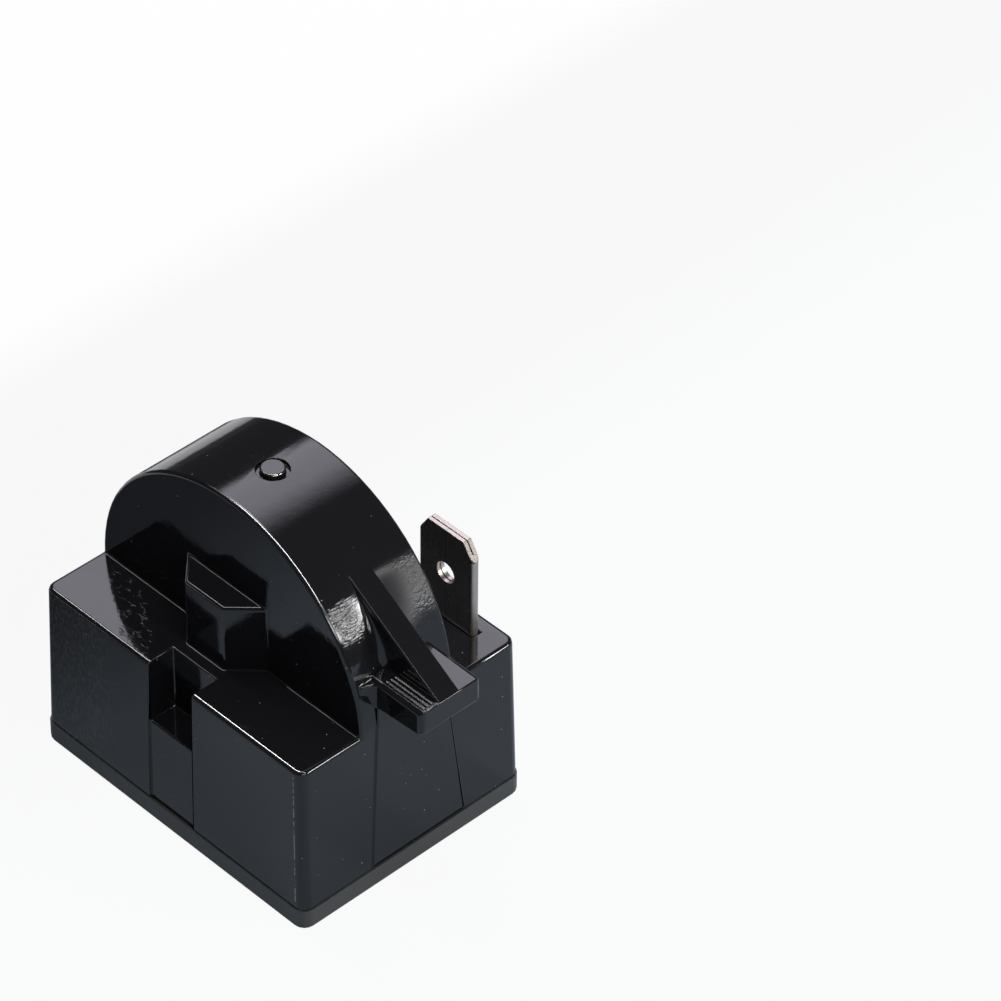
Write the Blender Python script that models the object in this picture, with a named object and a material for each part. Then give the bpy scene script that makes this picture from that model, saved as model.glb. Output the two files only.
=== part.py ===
"""Compressor start relay: a black moulded housing whose round drum holds a thermistor disc,
pressed between two leaf springs, with two pin sockets below and one folded spade tab on top.

All sizes are in metres, with +Z up. The origin is the centre of the resting face.
X runs along the long side, and the drum's plain face looks towards -Y.
"""
import math

import bmesh
import bpy
from mathutils import Matrix, Vector

# Clearances and walls
FIT_GAP = 0.0003
WALL = 0.0013

# Housing box: its length follows the pins, its width the drum and the two shelves beside it
PIN_PITCH = 0.0126
PIN_TO_END = 0.0091
FRONT_SHELF = 0.0063
BACK_SHELF = 0.00695
BOX_TOP = 0.01654
SEAM_HEIGHT = 0.0020
DRAFT = 0.0003
CORNER_RADIUS = 0.00095
TOP_ROUNDING = 0.0004

# Drum that stands on the box
DRUM_THICKNESS = 0.01005
DRUM_Z = 0.01635
DRUM_ROUNDING = 0.00035

# Moulding mark on the drum's crown: a button that stands in a round dimple
MARK_DIMPLE_RADIUS = 0.0014
MARK_DIMPLE_DEPTH = 0.00035
MARK_BUTTON_RADIUS = 0.00105
MARK_BUTTON_RISE = 0.00022
MARK_BUTTON_ROUNDING = 0.0001

# Notch in the front wall and the shallow panel under it
NOTCH_WIDTH = 0.0052
NOTCH_DEPTH = 0.0027
NOTCH_HEIGHT = 0.0062
NOTCH_X = -0.0001
PANEL_RECESS = 0.00015

# Wedge block on the drum's front face
BLOCK_FRONT_WIDTH = 0.0045
BLOCK_REACH = 0.00243
BLOCK_HEIGHT = 0.0065
BLOCK_ROUNDING = 0.00015
BLOCK_WALL = 0.0009

# Ledge at the drum's end, with its rib
LEDGE_REACH = 0.00505
LEDGE_WIDTH = 0.0065
LEDGE_SHIFT = -0.00008
LEDGE_RISE = 0.00486
LEDGE_THICKNESS = 0.0023
LEDGE_ROOT_EXTRA = 0.0004
LEDGE_ROUNDING = 0.0005
LEDGE_FILLET = 0.0013
LEDGE_FILLET_REACH = 0.0011
LEDGE_FILLET_SINK = 0.0006
RIB_SHIFT = -0.00031
RIB_THICKNESS = 0.00225
RIB_FILLET = 0.0008
RIB_TIP_SETBACK = 0.00005
RIB_CONTACT_ANGLE = 48.5
RIB_RUN_IN = 3.0

# Faint raised field on the end wall
FIELD_FRONT_REACH = 0.00323
FIELD_BACK_REACH = 0.00373
FIELD_FRONT_SPREAD = 0.00095
FIELD_BACK_SPREAD = 0.0021
FIELD_PROUD = 0.00010

# Base cover
BAND_PROUD = 0.00012
BAND_ROUNDING = 0.0003
SKIRT_HEIGHT = 0.0030
SKIRT_WALL = 0.0012
HOOK_Y = 0.0065
HOOK_WIDTH = 0.0030
HOOK_HEIGHT = 0.0030
BARB_REACH = 0.00050
BARB_HEIGHT = 0.0010
BARB_LAND = 0.00035
BARB_DROP = 0.0002
POCKET_SPARE = 0.0002
PIN_HOLE_RADIUS = 0.0022
PIN_HOLE_CHAMFER = 0.0006
COLLAR_WALL = 0.0010
COLLAR_HEIGHT = 0.0048
COLLAR_MARGIN = 0.00025
SOCKET_SEAT_DEPTH = 0.0002
SADDLE_HALF_WIDTH = 0.0050
POST_SIZE = 0.0014

# Thermistor disc
DISC_RADIUS = 0.0100
DISC_THICKNESS = 0.0026
DISC_ROUNDING = 0.0002
DISC_RIB_THICKNESS = 0.0012
DISC_RIB_ANGLES = (50.0, 90.0, 130.0)

# Sheet-metal terminals
SHEET = 0.0004
BEND_RADIUS = 0.0004
SHELF_INNER_X = 0.0042
PLATE_HALF_WIDTH = 0.0065
PLATE_RISE = 0.00715
ARM_HEIGHT = 0.0030
ARM_WIDTH = 0.0031

# Spade tab
TAB_END_MARGIN = 0.00264
TAB_WIDTH = 0.0063
TAB_RISE = 0.00926
TAB_CHAMFER_WIDTH = 0.0011
TAB_CHAMFER_HEIGHT = 0.0017
TAB_HOLE_RADIUS = 0.0010
TAB_HOLE_DROP = 0.00445
TAB_SEAM = 0.00012
TAB_PLY_GAP = 0.00005
TAB_PLY_DROP = 0.0007
TAB_SLOT_CLEARANCE = 0.00025

# Pin sockets with their clamp springs and rivets
SLEEVE_BORE_RADIUS = 0.00155
SLEEVE_TOP = 0.0107
SLEEVE_SLIT = 0.0008
MOUTH_FLARE = 0.00035
MOUTH_HEIGHT = 0.0009
TONGUE_WIDTH = 0.0030
CLIP_SHEET = 0.00035
CLIP_HEIGHT = 0.0050
CLIP_SLIT = 0.0012
RIVET_OFFSET = 0.0039
RIVET_RADIUS = 0.0006
RIVET_HEAD_RADIUS = 0.0012
RIVET_HEAD = 0.0004
RIVET_SHOULDER_RADIUS = 0.0010
RIVET_DOME_RADIUS = 0.0006

# Leaf springs that press on the disc
LEAF_SHEET = 0.00025
LEAF_WIDTH = 0.0120
LEAF_HEIGHT = 0.0104
LEAF_BAND = 0.0011
LEAF_FINGERS = 4
LEAF_SLOT = 0.0008
LEAF_WAVES = 2

# Fineness of round shapes
CORNER_STEPS = 4
ROUNDING_STEPS = 3
DRUM_SEGMENTS = 80
DISC_SEGMENTS = 48
SMALL_SEGMENTS = 24
WAVE_STEPS = 24
ARC_STEPS = 8
RIB_STEPS = 10

# Places worked out from the sizes above
END_X = PIN_PITCH / 2 + PIN_TO_END
SIDE_Y = (FRONT_SHELF + DRUM_THICKNESS + BACK_SHELF) / 2
INNER_X = END_X - WALL
INNER_Y = SIDE_Y - WALL
CEILING = BOX_TOP - WALL
COVER_TOP = SEAM_HEIGHT - FIT_GAP
DRUM_RADIUS = END_X
DRUM_FRONT_Y = FRONT_SHELF - SIDE_Y
DRUM_BACK_Y = DRUM_FRONT_Y + DRUM_THICKNESS
DRUM_CROWN = DRUM_Z + DRUM_RADIUS
DRUM_INNER_RADIUS = DRUM_RADIUS - WALL
CHAMBER_FRONT = DRUM_FRONT_Y + WALL
CHAMBER_BACK = DRUM_BACK_Y - WALL
DISC_Y = (CHAMBER_FRONT + CHAMBER_BACK) / 2
DISC_FRONT = DISC_Y - DISC_THICKNESS / 2
DISC_BACK = DISC_Y + DISC_THICKNESS / 2
BLOCK_X = NOTCH_X
LEDGE_Y = DISC_Y + LEDGE_SHIFT
LEDGE_TOP = BOX_TOP + LEDGE_RISE
RIB_Y = DISC_Y + RIB_SHIFT
TAB_X = END_X - TAB_END_MARGIN - TAB_WIDTH / 2
TAB_TOP = BOX_TOP + TAB_RISE
TAB_PLY_FOOT = CEILING - TAB_PLY_DROP
TAB_BACK_Y = INNER_Y - FIT_GAP
TAB_THICKNESS = 2 * SHEET + TAB_PLY_GAP
SLEEVE_RADIUS = SLEEVE_BORE_RADIUS + SHEET
CLIP_BORE_RADIUS = SLEEVE_RADIUS + FIT_GAP
CLIP_RADIUS = CLIP_BORE_RADIUS + CLIP_SHEET
COLLAR_BORE_RADIUS = CLIP_RADIUS + FIT_GAP
COLLAR_RADIUS = COLLAR_BORE_RADIUS + COLLAR_WALL
PIN_ROW_Y = INNER_Y - FIT_GAP - COLLAR_MARGIN - COLLAR_RADIUS
SEAT_HEIGHT = COVER_TOP - SOCKET_SEAT_DEPTH
SLEEVE_FOOT = SEAT_HEIGHT + FIT_GAP
CLIP_FOOT = SLEEVE_FOOT + MOUTH_HEIGHT + FIT_GAP
PLATE_FRONT_Y = CHAMBER_FRONT + FIT_GAP
PLATE_BACK_Y = CHAMBER_BACK - FIT_GAP
PLATE_TOP = DRUM_Z + PLATE_RISE
SHELF_HEIGHT = SLEEVE_TOP + FIT_GAP
SHELF_EDGE_X = INNER_X - FIT_GAP
LEAF_Z = (SHELF_HEIGHT + SHEET + PLATE_TOP) / 2
OVERSHOOT = 0.001


def clear_scene():
    """Remove what the file holds at the start."""
    for old in list(bpy.data.objects):
        bpy.data.objects.remove(old, do_unlink=True)


def make_material(name, color, roughness, metallic):
    """A Principled surface in one colour."""
    material = bpy.data.materials.new(name)
    material.use_nodes = True
    shader = material.node_tree.nodes["Principled BSDF"]
    shader.inputs["Base Color"].default_value = (*color, 1.0)
    shader.inputs["Roughness"].default_value = roughness
    shader.inputs["Metallic"].default_value = metallic
    return material


def make_object(name, bm, material=None):
    """Turn a bmesh into a named object; without a material it is a hidden cutter."""
    bmesh.ops.recalc_face_normals(bm, faces=bm.faces)
    mesh = bpy.data.meshes.new(name)
    bm.to_mesh(mesh)
    bm.free()
    obj = bpy.data.objects.new(name, mesh)
    bpy.context.scene.collection.objects.link(obj)
    if material:
        mesh.materials.append(material)
        mesh.shade_smooth()
        mesh.set_sharp_from_angle(angle=math.radians(30))
    else:
        obj.hide_render = True
        obj.display_type = "WIRE"
    return obj


def combine(target, operation, tool):
    """Cut or join the hidden tool's shape into the target."""
    modifier = target.modifiers.new(tool.name, "BOOLEAN")
    modifier.operation = operation
    modifier.object = tool


# Shapes that the pieces are made of

def extruded(points, travel):
    """A flat outline pushed along travel."""
    bm = bmesh.new()
    face = bm.faces.new([bm.verts.new(point) for point in points])
    grown = bmesh.ops.extrude_face_region(bm, geom=[face])
    moved = [item for item in grown["geom"] if isinstance(item, bmesh.types.BMVert)]
    bmesh.ops.translate(bm, vec=travel, verts=moved)
    return bm


def box(low, high):
    """A box between two corners."""
    outline = [(low[0], low[1], low[2]), (high[0], low[1], low[2]),
               (high[0], high[1], low[2]), (low[0], high[1], low[2])]
    return extruded(outline, (0, 0, high[2] - low[2]))


def lofted(rings):
    """A closed skin through rings that have the same number of points."""
    bm = bmesh.new()
    loops = [[bm.verts.new(point) for point in ring] for ring in rings]
    for lower, upper in zip(loops, loops[1:]):
        for index, corner in enumerate(lower):
            before = index - 1
            bm.faces.new((lower[before], corner, upper[index], upper[before]))
    bm.faces.new(reversed(loops[0]))
    bm.faces.new(loops[-1])
    return bm


def rounded_rectangle(half_x, half_y, radius, height):
    """Points of a level rectangle with round corners."""
    points = []
    for quarter, (side_x, side_y) in enumerate([(1, 1), (-1, 1), (-1, -1), (1, -1)]):
        for step in range(CORNER_STEPS + 1):
            angle = math.radians(90) * (quarter + step / CORNER_STEPS)
            points.append((side_x * (half_x - radius) + radius * math.cos(angle),
                           side_y * (half_y - radius) + radius * math.sin(angle), height))
    return points


def circle_xz(radius, y, segments):
    """Points of an upright circle round the drum's axis."""
    angles = [math.tau * step / segments for step in range(segments)]
    return [(radius * math.cos(a), y, DRUM_Z + radius * math.sin(a)) for a in angles]


def upright_disc(radius, front, back, rounding, segments):
    """A round disc on the drum's axis with rounded rims."""
    rings = []
    for step in range(ROUNDING_STEPS + 1):
        angle = math.radians(90) * step / ROUNDING_STEPS
        inset = rounding * (1 - math.sin(angle))
        rings.append(circle_xz(radius - inset, front + rounding * (1 - math.cos(angle)), segments))
    mirrored = [[(x, front + back - y, z) for x, y, z in ring] for ring in reversed(rings)]
    return lofted(rings + mirrored)


def pillar(center, levels):
    """A round bar through (radius, height) levels, closed at both ends."""
    rings = []
    for radius, height in levels:
        angles = [math.tau * step / SMALL_SEGMENTS for step in range(SMALL_SEGMENTS)]
        rings.append([(center[0] + radius * math.cos(a), center[1] + radius * math.sin(a), height)
                      for a in angles])
    return lofted(rings)


def split_ring(bore, radius, slit, center, facing, levels):
    """Rolled sleeve with a slit; levels are (height, widening) pairs and facing is the slit's side."""
    half = math.asin(slit / 2 / radius)
    rings = []
    for height, widening in levels:
        sweep = [facing + half + (math.tau - 2 * half) * step / SMALL_SEGMENTS
                 for step in range(SMALL_SEGMENTS + 1)]
        outer = [(radius + widening, angle) for angle in sweep]
        inner = [(bore + widening, angle) for angle in reversed(sweep)]
        rings.append([(center[0] + r * math.cos(a), center[1] + r * math.sin(a), height)
                      for r, a in outer + inner])
    return lofted(rings)


# Housing shell

def wall_offset(height):
    """How far a drafted wall stands out at a height."""
    return DRAFT * (BOX_TOP - height) / (BOX_TOP - SEAM_HEIGHT)


def housing_box():
    """Drafted box with round corners and a rounded top edge."""
    rings = []
    lean = wall_offset(SEAM_HEIGHT)
    rings.append(rounded_rectangle(END_X + lean, SIDE_Y + lean, CORNER_RADIUS, SEAM_HEIGHT))
    for step in range(ROUNDING_STEPS + 1):
        angle = math.radians(90) * step / ROUNDING_STEPS
        inset = TOP_ROUNDING * (1 - math.cos(angle))
        height = BOX_TOP - TOP_ROUNDING * (1 - math.sin(angle))
        rings.append(rounded_rectangle(END_X - inset, SIDE_Y - inset, CORNER_RADIUS - inset, height))
    return lofted(rings)


def wedge_block():
    """Block on the drum's face with two sides at 45 degrees."""
    front_y = DRUM_FRONT_Y - BLOCK_REACH
    root_y = DRUM_FRONT_Y + WALL / 2
    front_half = BLOCK_FRONT_WIDTH / 2
    root_half = front_half + root_y - front_y
    foot = BOX_TOP - WALL / 2
    outline = [(BLOCK_X - root_half, root_y, foot), (BLOCK_X - front_half, front_y, foot),
               (BLOCK_X + front_half, front_y, foot), (BLOCK_X + root_half, root_y, foot)]
    bm = extruded(outline, (0, 0, BOX_TOP + BLOCK_HEIGHT - foot))
    rim = [edge for edge in bm.edges
           if all(vert.co.y < DRUM_FRONT_Y for vert in edge.verts)
           or min(vert.co.z for vert in edge.verts) > BOX_TOP]
    bmesh.ops.bevel(bm, geom=rim, offset=BLOCK_ROUNDING, affect="EDGES", segments=1, profile=0.5,
                    material=-1)
    return bm


def ledge():
    """Ledge beyond the end wall; its underside rises towards the tip."""
    root_x = DRUM_RADIUS - WALL
    tip_x = END_X + LEDGE_REACH
    near_y = LEDGE_Y - LEDGE_WIDTH / 2
    under_tip = LEDGE_TOP - LEDGE_THICKNESS
    outline = [(root_x, near_y, under_tip - LEDGE_ROOT_EXTRA), (tip_x, near_y, under_tip),
               (tip_x, near_y, LEDGE_TOP), (root_x, near_y, LEDGE_TOP)]
    bm = extruded(outline, (0, LEDGE_WIDTH, 0))
    rounded = []
    for edge in bm.edges:
        ends = [vert.co for vert in edge.verts]
        along_y = abs(ends[0].y - ends[1].y) > FIT_GAP
        at_tip = min(end.x for end in ends) > END_X
        on_top = min(end.z for end in ends) > LEDGE_TOP - FIT_GAP
        if not along_y and (at_tip or on_top):
            rounded.append(edge)
    bmesh.ops.bevel(bm, geom=rounded, offset=LEDGE_ROUNDING, affect="EDGES", segments=3, profile=0.5,
                    material=-1)
    return bm


def ledge_fillet():
    """Hollow fillet between the ledge's front side and the drum."""
    foot = LEDGE_TOP - LEDGE_THICKNESS - LEDGE_ROOT_EXTRA
    root_x = DRUM_RADIUS - WALL
    start_x = END_X - LEDGE_FILLET_SINK
    start_y = LEDGE_Y - LEDGE_WIDTH / 2 - LEDGE_FILLET_REACH
    outline = [(root_x, start_y, foot)]
    for step in range(ROUNDING_STEPS + 2):
        angle = math.radians(90) * step / (ROUNDING_STEPS + 1)
        outline.append((start_x + LEDGE_FILLET * (1 - math.cos(angle)),
                        start_y + LEDGE_FILLET * math.sin(angle), foot))
    outline.append((root_x, start_y + LEDGE_FILLET, foot))
    return extruded(outline, (0, 0, LEDGE_TOP - foot - LEDGE_ROUNDING / 2))


def ledge_rib():
    """Rib from the ledge's tip to the drum's shoulder, filleted where it leaves the drum.

    Each ring lies in a plane through the drum's axis; the rib's slope cuts the rings off.
    """
    contact = math.radians(RIB_CONTACT_ANGLE)
    tip = Vector((END_X + LEDGE_REACH - RIB_TIP_SETBACK / 2, LEDGE_TOP - RIB_TIP_SETBACK / 2 - DRUM_Z))
    shoulder = Vector((DRUM_RADIUS * math.cos(contact), DRUM_RADIUS * math.sin(contact)))
    slope = shoulder - tip
    first, last = math.atan2(tip.y, tip.x), contact + math.radians(RIB_RUN_IN)
    rings = []
    for step in range(RIB_STEPS + 1):
        angle = first + (last - first) * step / RIB_STEPS
        heading = Vector((math.cos(angle), math.sin(angle)))
        crest = tip.cross(slope) / heading.cross(slope)
        fillet = min(max((crest - DRUM_RADIUS) / 2, FIT_GAP / 2), RIB_FILLET)
        foot = min(DRUM_RADIUS - RIB_TIP_SETBACK, crest - 2 * fillet)
        flank = [(fillet, foot - WALL / 2)]
        for part in range(ROUNDING_STEPS + 1):
            turn = math.radians(90) * part / ROUNDING_STEPS
            flank.append((fillet * (1 - math.sin(turn)), foot + fillet * (1 - math.cos(turn))))
        flank.append((0, crest))
        section = [(-RIB_THICKNESS / 2 - out, radius) for out, radius in flank]
        section += [(RIB_THICKNESS / 2 + out, radius) for out, radius in reversed(flank)]
        rings.append([(radius * heading.x, RIB_Y + y, DRUM_Z + radius * heading.y)
                      for y, radius in section])
    return lofted(rings)


def end_field():
    """Faint raised field on the end wall that widens towards the base."""
    top, foot = LEDGE_TOP - LEDGE_THICKNESS, SEAM_HEIGHT + FIT_GAP
    inside = END_X - WALL / 2
    front, back = DISC_Y - FIELD_FRONT_REACH, DISC_Y + FIELD_BACK_REACH
    outline = [(inside, front - FIELD_FRONT_SPREAD, foot), (inside, back + FIELD_BACK_SPREAD, foot),
               (inside, back, top), (inside, front, top)]
    bm = extruded(outline, (WALL / 2 + FIELD_PROUD, 0, 0))
    for vert in bm.verts:
        if vert.co.x > END_X:
            vert.co.x += max(wall_offset(vert.co.z), 0)
    return bm


def chamber():
    """Hollow inside of the box and the drum, less the wall that backs the notch."""
    hollow = make_object("chamber_box", box((-INNER_X, -INNER_Y, SEAM_HEIGHT - OVERSHOOT),
                                            (INNER_X, INNER_Y, CEILING)))
    drum_hollow = make_object("chamber_drum", upright_disc(DRUM_INNER_RADIUS, CHAMBER_FRONT, CHAMBER_BACK,
                                                           DRUM_ROUNDING, DRUM_SEGMENTS))
    notch_wall = make_object("chamber_notch_wall", box(
        (NOTCH_X - NOTCH_WIDTH / 2 - WALL, -SIDE_Y, BOX_TOP - NOTCH_HEIGHT - WALL),
        (NOTCH_X + NOTCH_WIDTH / 2 + WALL, -SIDE_Y + NOTCH_DEPTH + WALL, CEILING + OVERSHOOT)))
    core_half = BLOCK_FRONT_WIDTH / 2 - BLOCK_WALL
    block_core = make_object("chamber_block_core", box(
        (BLOCK_X - core_half, DRUM_FRONT_Y - BLOCK_REACH + WALL, CEILING - OVERSHOOT),
        (BLOCK_X + core_half, CHAMBER_FRONT + DRUM_ROUNDING, BOX_TOP + BLOCK_HEIGHT - WALL)))
    combine(hollow, "UNION", drum_hollow)
    combine(hollow, "DIFFERENCE", notch_wall)
    combine(hollow, "UNION", block_core)
    return hollow


def disc_rib(angle):
    """Rib from the drum's crown to the disc's rim."""
    half_y = DISC_THICKNESS / 2 + FIT_GAP
    half_t = DISC_RIB_THICKNESS / 2
    bm = box((DISC_RADIUS + FIT_GAP, -half_y, -half_t),
             (DRUM_RADIUS - WALL / 2, half_y, half_t))
    turn = Matrix.Rotation(-math.radians(angle), 4, "Y")
    bmesh.ops.transform(bm, matrix=Matrix.Translation((0, DISC_Y, DRUM_Z)) @ turn, verts=bm.verts)
    return bm


def hold_down_rib(side):
    """Rib from the ceiling that keeps a terminal's shelf down."""
    inner, outer = side * (SHELF_INNER_X + FIT_GAP), side * (SHELF_INNER_X + FIT_GAP + DISC_RIB_THICKNESS)
    return box((min(inner, outer), PIN_ROW_Y, SHELF_HEIGHT + SHEET + FIT_GAP),
               (max(inner, outer), PIN_ROW_Y + TONGUE_WIDTH, CEILING + WALL / 2))


def hook_places():
    """Ends and sides where the cover's hooks stand."""
    return [(side, y) for side in (-1, 1) for y in (-HOOK_Y, HOOK_Y)]


def hook_pocket(side, y):
    """Pocket in the end wall that takes a barb."""
    inner, outer = side * (INNER_X - FIT_GAP), side * (INNER_X + BARB_REACH + POCKET_SPARE)
    barb_top = COVER_TOP + SKIRT_HEIGHT + HOOK_HEIGHT - BARB_DROP
    half = HOOK_WIDTH / 2 + FIT_GAP
    return box((min(inner, outer), y - half, barb_top - BARB_HEIGHT - FIT_GAP),
               (max(inner, outer), y + half, barb_top + FIT_GAP))


def front_panel():
    """Shallow panel between the notch and the seam, cut along the drafted wall."""
    half = NOTCH_WIDTH / 2
    low, high = SEAM_HEIGHT - OVERSHOOT, BOX_TOP - NOTCH_HEIGHT + OVERSHOOT
    low_y = -SIDE_Y - wall_offset(low) + PANEL_RECESS
    high_y = -SIDE_Y - wall_offset(high) + PANEL_RECESS
    left = NOTCH_X - half
    outline = [(left, low_y, low), (left, high_y, high),
               (left, high_y - OVERSHOOT, high), (left, low_y - OVERSHOOT, low)]
    return extruded(outline, (NOTCH_WIDTH, 0, 0))


def crown_mark():
    """Round dimple in the crown, and the button in it that stands slightly proud."""
    floor = DRUM_CROWN - MARK_DIMPLE_DEPTH
    top = DRUM_CROWN + MARK_BUTTON_RISE
    dimple = [(MARK_DIMPLE_RADIUS, floor), (MARK_DIMPLE_RADIUS, DRUM_CROWN + OVERSHOOT)]
    button = [(MARK_BUTTON_RADIUS, floor - MARK_DIMPLE_DEPTH),
              (MARK_BUTTON_RADIUS, top - MARK_BUTTON_ROUNDING),
              (MARK_BUTTON_RADIUS - MARK_BUTTON_ROUNDING, top)]
    return pillar((0, DISC_Y), dimple), pillar((0, DISC_Y), button)


def housing_shell(material):
    """Moulded shell with the drum, the block, the ledge and its rib, open below."""
    shell = make_object("housing_shell", housing_box(), material)
    additions = {
        "drum": upright_disc(DRUM_RADIUS, DRUM_FRONT_Y, DRUM_BACK_Y, DRUM_ROUNDING, DRUM_SEGMENTS),
        "wedge_block": wedge_block(),
        "ledge": ledge(),
        "ledge_fillet": ledge_fillet(),
        "ledge_rib": ledge_rib(),
        "end_field": end_field(),
    }
    for name, bm in additions.items():
        combine(shell, "UNION", make_object(name, bm))
    combine(shell, "DIFFERENCE", chamber())
    below = make_object("below_seam", box((-2 * END_X, -2 * SIDE_Y, -BOX_TOP),
                                          (2 * END_X, 2 * SIDE_Y, SEAM_HEIGHT)))
    combine(shell, "DIFFERENCE", below)
    notch = make_object("notch", box(
        (NOTCH_X - NOTCH_WIDTH / 2, -SIDE_Y - OVERSHOOT, BOX_TOP - NOTCH_HEIGHT),
        (NOTCH_X + NOTCH_WIDTH / 2, -SIDE_Y + NOTCH_DEPTH, BOX_TOP + OVERSHOOT)))
    combine(shell, "DIFFERENCE", notch)
    combine(shell, "DIFFERENCE", make_object("notch_panel", front_panel()))
    dimple, button = crown_mark()
    combine(shell, "DIFFERENCE", make_object("mark_dimple", dimple))
    combine(shell, "UNION", make_object("mark_button", button))
    slot_half = TAB_WIDTH / 2 + TAB_SLOT_CLEARANCE
    slot = make_object("tab_slot", box(
        (TAB_X - slot_half, TAB_BACK_Y - TAB_THICKNESS - TAB_SLOT_CLEARANCE, CEILING - OVERSHOOT),
        (TAB_X + slot_half, TAB_BACK_Y + TAB_SLOT_CLEARANCE, BOX_TOP + OVERSHOOT)))
    combine(shell, "DIFFERENCE", slot)
    for side, y in hook_places():
        combine(shell, "DIFFERENCE", make_object("hook_pocket", hook_pocket(side, y)))
    for angle in DISC_RIB_ANGLES:
        combine(shell, "UNION", make_object("disc_rib", disc_rib(angle)))
    for side in (-1, 1):
        combine(shell, "UNION", make_object("hold_down_rib", hold_down_rib(side)))
    return shell


# Base cover

def cover_plate():
    """Plate under the shell that stands slightly proud all round."""
    half_x = END_X + DRAFT + BAND_PROUD
    half_y = SIDE_Y + DRAFT + BAND_PROUD
    radius = CORNER_RADIUS + BAND_PROUD
    rings = []
    for step in range(ROUNDING_STEPS + 1):
        angle = math.radians(90) * step / ROUNDING_STEPS
        inset = BAND_ROUNDING * (1 - math.sin(angle))
        height = BAND_ROUNDING * (1 - math.cos(angle))
        rings.append(rounded_rectangle(half_x - inset, half_y - inset, radius - inset, height))
    rings.append(rounded_rectangle(half_x, half_y, radius, COVER_TOP - BAND_PROUD))
    inset = BAND_PROUD
    rings.append(rounded_rectangle(half_x - inset, half_y - inset, radius - inset, COVER_TOP))
    return lofted(rings)


def cover_hook(side, y):
    """Hook on the skirt with a barb at its tip."""
    face = side * (INNER_X - FIT_GAP)
    inner = face - side * SKIRT_WALL
    foot = COVER_TOP - FIT_GAP
    tip = COVER_TOP + SKIRT_HEIGHT + HOOK_HEIGHT
    barb_top = tip - BARB_DROP
    barb_foot = barb_top - BARB_HEIGHT
    near_y = y - HOOK_WIDTH / 2
    barb = face + side * BARB_REACH
    outline = [(inner, near_y, foot), (face, near_y, foot), (face, near_y, barb_foot),
               (barb, near_y, barb_foot), (barb, near_y, barb_foot + BARB_LAND),
               (face, near_y, barb_top), (face, near_y, tip), (inner, near_y, tip)]
    return extruded(outline, (0, HOOK_WIDTH, 0))


def saddle():
    """Upright wall whose hollow top carries the disc's rim."""
    radius = DISC_RADIUS + FIT_GAP
    foot = COVER_TOP - FIT_GAP
    near_y = DISC_FRONT - FIT_GAP
    reach = math.asin(SADDLE_HALF_WIDTH / radius)
    outline = [(SADDLE_HALF_WIDTH, near_y, foot), (-SADDLE_HALF_WIDTH, near_y, foot)]
    for step in range(ARC_STEPS + 1):
        angle = -reach + 2 * reach * step / ARC_STEPS
        outline.append((radius * math.sin(angle), near_y, DRUM_Z - radius * math.cos(angle)))
    return extruded(outline, (0, DISC_THICKNESS + 2 * FIT_GAP, 0))


def cover_posts():
    """Low corners of the posts that carry the terminals' shelves."""
    outer = SHELF_EDGE_X - 2 * FIT_GAP - POST_SIZE
    back_y = TAB_BACK_Y - SHEET - BEND_RADIUS - POST_SIZE
    front_y = PLATE_FRONT_Y + SHEET + BEND_RADIUS
    return [(outer, back_y), (-outer - POST_SIZE, back_y), (-outer - POST_SIZE, front_y)]


def base_cover(material):
    """Moulded cover with a skirt, four hooks, two socket collars and the disc's saddle."""
    cover = make_object("base_cover", cover_plate(), material)
    half_x, half_y = INNER_X - FIT_GAP, INNER_Y - FIT_GAP
    skirt = make_object("skirt", lofted([
        rounded_rectangle(half_x, half_y, CORNER_RADIUS, height)
        for height in (COVER_TOP - FIT_GAP, COVER_TOP + SKIRT_HEIGHT)]))
    hollow = make_object("skirt_hollow", lofted([
        rounded_rectangle(half_x - SKIRT_WALL, half_y - SKIRT_WALL, CORNER_RADIUS, height)
        for height in (COVER_TOP, COVER_TOP + SKIRT_HEIGHT + OVERSHOOT)]))
    combine(cover, "UNION", skirt)
    combine(cover, "DIFFERENCE", hollow)
    for side, y in hook_places():
        combine(cover, "UNION", make_object("cover_hook", cover_hook(side, y)))
    combine(cover, "UNION", make_object("saddle", saddle()))
    for low_x, low_y in cover_posts():
        post = box((low_x, low_y, COVER_TOP - FIT_GAP),
                   (low_x + POST_SIZE, low_y + POST_SIZE, SHELF_HEIGHT - FIT_GAP))
        combine(cover, "UNION", make_object("cover_post", post))
    for side in (-1, 1):
        center = (side * PIN_PITCH / 2, PIN_ROW_Y)
        collar = pillar(center, [(COLLAR_RADIUS, COVER_TOP - FIT_GAP),
                                 (COLLAR_RADIUS, COVER_TOP + COLLAR_HEIGHT)])
        combine(cover, "UNION", make_object("socket_collar", collar))
        combine(cover, "DIFFERENCE", make_object("collar_bore", pillar(
            center, [(COLLAR_BORE_RADIUS, SEAT_HEIGHT), (COLLAR_BORE_RADIUS, SHELF_HEIGHT)])))
        combine(cover, "DIFFERENCE", make_object("pin_hole", pillar(center, [
            (PIN_HOLE_RADIUS + PIN_HOLE_CHAMFER + OVERSHOOT, -OVERSHOOT),
            (PIN_HOLE_RADIUS, PIN_HOLE_CHAMFER),
            (PIN_HOLE_RADIUS, COVER_TOP + OVERSHOOT / 2)])))
    return cover


# Thermistor disc and its springs

def ptc_disc(material):
    """Ceramic thermistor disc on the drum's axis."""
    bm = upright_disc(DISC_RADIUS, DISC_FRONT, DISC_BACK, DISC_ROUNDING, DISC_SEGMENTS)
    return make_object("ptc_disc", bm, material)


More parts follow.
